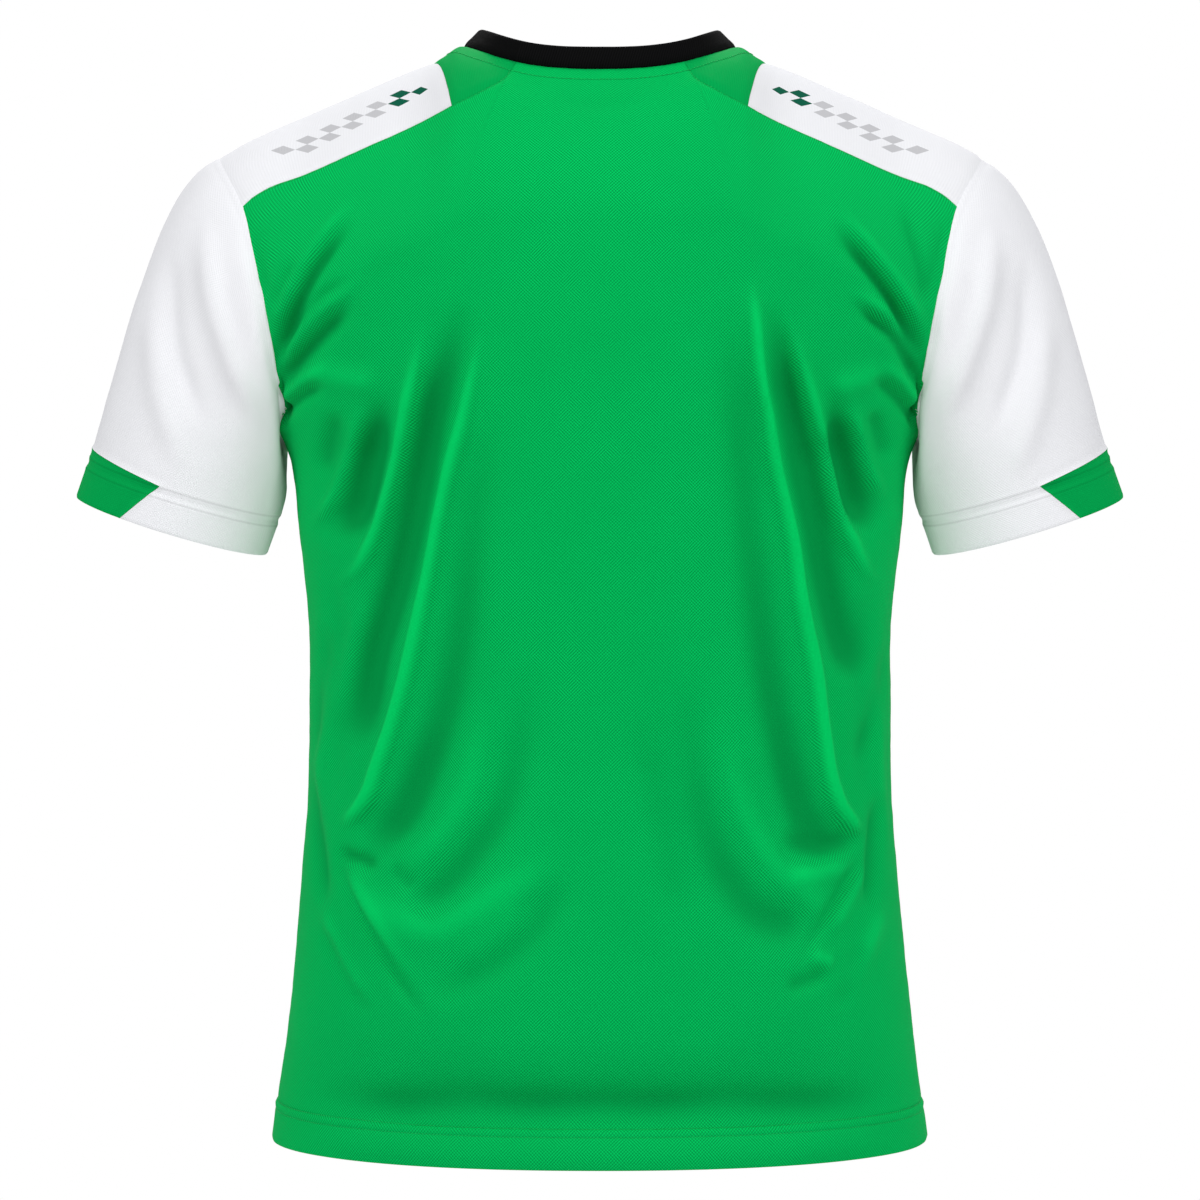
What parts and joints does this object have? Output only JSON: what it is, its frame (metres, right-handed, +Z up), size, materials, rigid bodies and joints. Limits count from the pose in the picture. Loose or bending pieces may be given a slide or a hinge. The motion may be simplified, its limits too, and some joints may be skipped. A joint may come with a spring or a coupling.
{
  "type": "football jersey, short-sleeved, in its worn shape with no wearer",
  "caption": "Short-sleeved football jersey in its hollow worn shape: green body, white shoulders and sleeves, green cuff inserts and a narrow black collar, open at neck, hem and cuffs.",
  "frame": {"origin": "middle of the neck, level with the highest points of the shoulders, where the wearer's neck and shoulders carry the jersey", "axes": "+Z up along the wearer, -Y towards the wearer's back, +Y towards the wearer's front, +X towards the wearer's right"},
  "size_m": [0.6992, 0.2596, 0.7381],
  "materials": {
    "green_knit": "fine polyester knit with a soft sheen",
    "white_knit": "fine polyester knit with a soft sheen",
    "black_band": "doubled rib knit, matt"
  },
  "bodies": {
    "root": {"back_panel": "green_knit", "front_panel": "green_knit", "shoulder_panel_left": "white_knit", "shoulder_panel_right": "white_knit", "shoulder_insert_left": "green_knit", "shoulder_insert_right": "green_knit", "sleeve_left": "white_knit", "sleeve_right": "white_knit", "cuff_insert_left": "green_knit", "cuff_insert_right": "green_knit", "collar": "black_band"}
  },
  "joints": []
}
